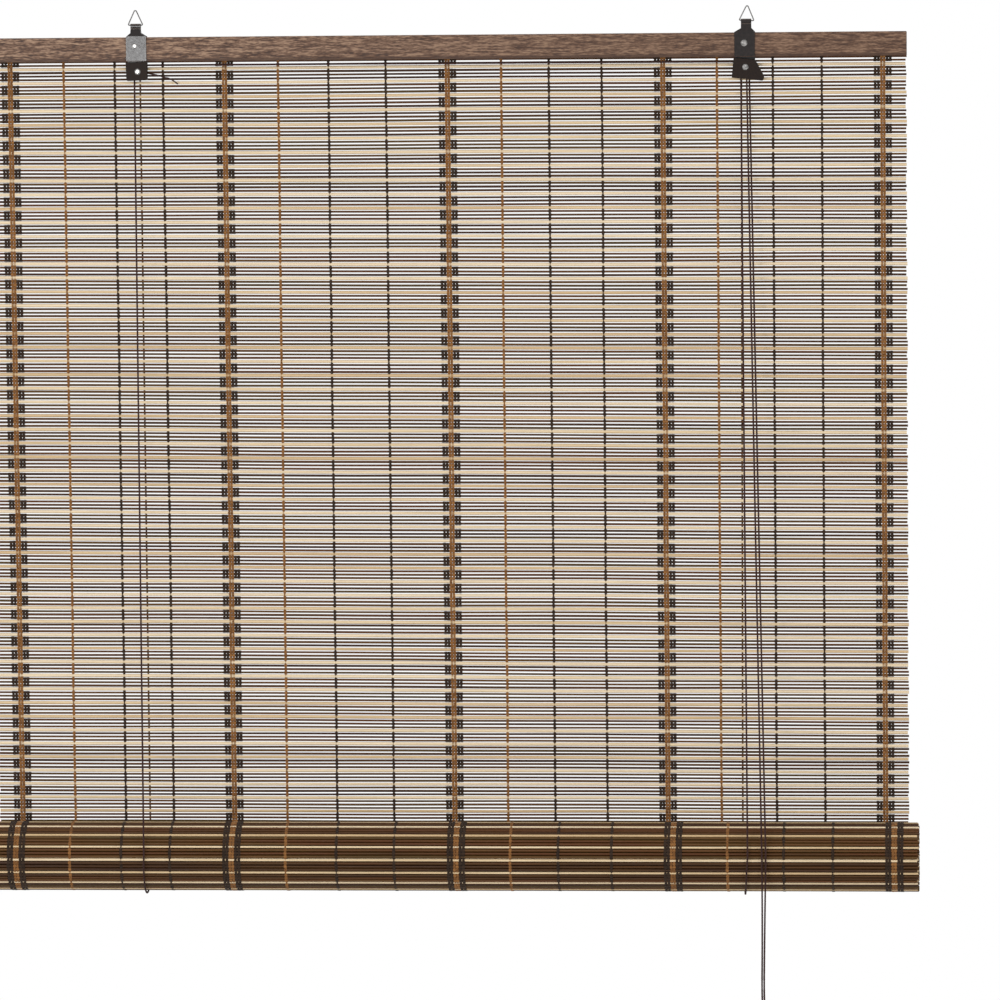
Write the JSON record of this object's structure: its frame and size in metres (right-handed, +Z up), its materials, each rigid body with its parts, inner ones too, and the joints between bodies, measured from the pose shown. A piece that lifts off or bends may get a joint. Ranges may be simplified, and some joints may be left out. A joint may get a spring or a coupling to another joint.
{
  "type": "bamboo roll-up blind",
  "caption": "Bamboo reed blind on a wooden head rail, hung by wire rings and rolled up from below by lift cords through a cord lock.",
  "frame": {"origin": "middle between the two brackets, at the height and depth where the rings hang on their hooks", "axes": "+Z up, +X along the head rail to the right as seen from the room, -Y towards the room"},
  "size_m": [1.004, 0.0927, 1.2093],
  "materials": {
    "rail_wood": "satin",
    "dark_metal": "semi-gloss",
    "bright_steel": "polished",
    "pulley_plastic": "matt",
    "dark_reed": "satin",
    "natural_reed": "satin",
    "dark_thread": "matt",
    "orange_thread": "matt",
    "brown_cord": "matt",
    "tassel_wood": "satin"
  },
  "bodies": {
    "head": {"head_rail": "rail_wood", "bracket_left": "dark_metal", "bracket_right": "dark_metal", "pulley_cover_left": "dark_metal", "lock_cover": "dark_metal", "rail_rivet_left": "bright_steel", "rail_rivet_right": "bright_steel", "axle_rivet_left": "bright_steel", "axle_rivet_right": "bright_steel", "mat_staples": "bright_steel", "mat_hanging": "dark_reed", "mat_natural_reeds": "natural_reed", "mat_warps_dark": "dark_thread", "mat_warps_orange": "orange_thread", "cord_knot_left": "brown_cord", "cord_knot_right": "brown_cord", "cross_cord": "brown_cord", "lock_turn_cord": "brown_cord", "lift_cord_left_front": "brown_cord", "lift_cord_right_front": "brown_cord", "lift_cord_left_back": "brown_cord", "lift_cord_right_back": "brown_cord", "pull_cord_left_upper": "brown_cord", "pull_cord_right_upper": "brown_cord", "cord_tail_left": "brown_cord"},
    "ring_left": {"ring_left": "bright_steel"},
    "ring_right": {"ring_right": "bright_steel"},
    "pulley_left": {"pulley_left": "pulley_plastic"},
    "lock_pulley": {"lock_pulley": "pulley_plastic"},
    "lock_roller": {"lock_roller": "bright_steel"},
    "roll_sling": {"lift_cord_left_loop": "brown_cord", "lift_cord_right_loop": "brown_cord", "pull_cord_left_lower": "brown_cord", "pull_cord_right_lower": "brown_cord"},
    "roll": {"mat_roll": "dark_reed", "roll_natural_reeds": "natural_reed", "roll_warps_dark": "dark_thread", "roll_warps_orange": "orange_thread", "bottom_rail": "rail_wood"},
    "pull_end": {"cord_hank": "brown_cord", "hank_tie": "brown_cord", "pull_tail_left": "brown_cord", "pull_tail_right": "brown_cord", "tassel": "tassel_wood"}
  },
  "joints": [
    {"name": "ring_left_swing", "type": "hinge", "parent": "head", "child": "ring_left", "pos_m": [-0.331, 0, -0.01507], "axis": [1, 0, 0], "range_deg": [-90, 90]},
    {"name": "ring_right_swing", "type": "hinge", "parent": "head", "child": "ring_right", "pos_m": [0.3321, 0, -0.01547], "axis": [0.999, 0, -0.0436], "range_deg": [-90, 90]},
    {"name": "pulley_left_spin", "type": "hinge", "parent": "head", "child": "pulley_left", "pos_m": [-0.3289, 0, -0.0654], "axis": [0, 1, 0], "continuous": true},
    {"name": "lock_pulley_spin", "type": "hinge", "parent": "head", "child": "lock_pulley", "pos_m": [0.3307, 0, -0.0654], "axis": [0, 1, 0], "continuous": true},
    {"name": "lock_roller_slide", "type": "slide", "parent": "head", "child": "lock_roller", "axis": [0.4793, 0, -0.8776], "range_m": [0, 0.005]},
    {"name": "roll_lift", "type": "slide", "parent": "head", "child": "roll_sling", "axis": [0, 0, 1], "range_m": [0, 0.703], "deforming": ["mat_hanging", "mat_natural_reeds", "mat_warps_dark", "mat_warps_orange", "lift_cord_left_front", "lift_cord_right_front", "lift_cord_left_back", "lift_cord_right_back", "pull_cord_left_upper", "pull_cord_right_upper"]},
    {"name": "roll_turn", "type": "hinge", "parent": "roll_sling", "child": "roll", "pos_m": [0, -0.0306, -0.9191], "axis": [-1, 0, 0], "range_deg": [0, 1081]},
    {"name": "pull_drop", "type": "slide", "parent": "roll_sling", "child": "pull_end", "axis": [0, 0, -1], "range_m": [0, 2.11], "deforming": ["pull_cord_left_lower", "pull_cord_right_lower"]}
  ],
  "couplings": [
    {"joint": "roll_turn", "follows": "roll_lift", "rad_per_m": 26.813},
    {"joint": "pull_drop", "follows": "roll_lift", "ratio": 3},
    {"joint": "pulley_left_spin", "follows": "roll_lift", "rad_per_m": 416.67},
    {"joint": "lock_pulley_spin", "follows": "roll_lift", "rad_per_m": 416.67}
  ]
}
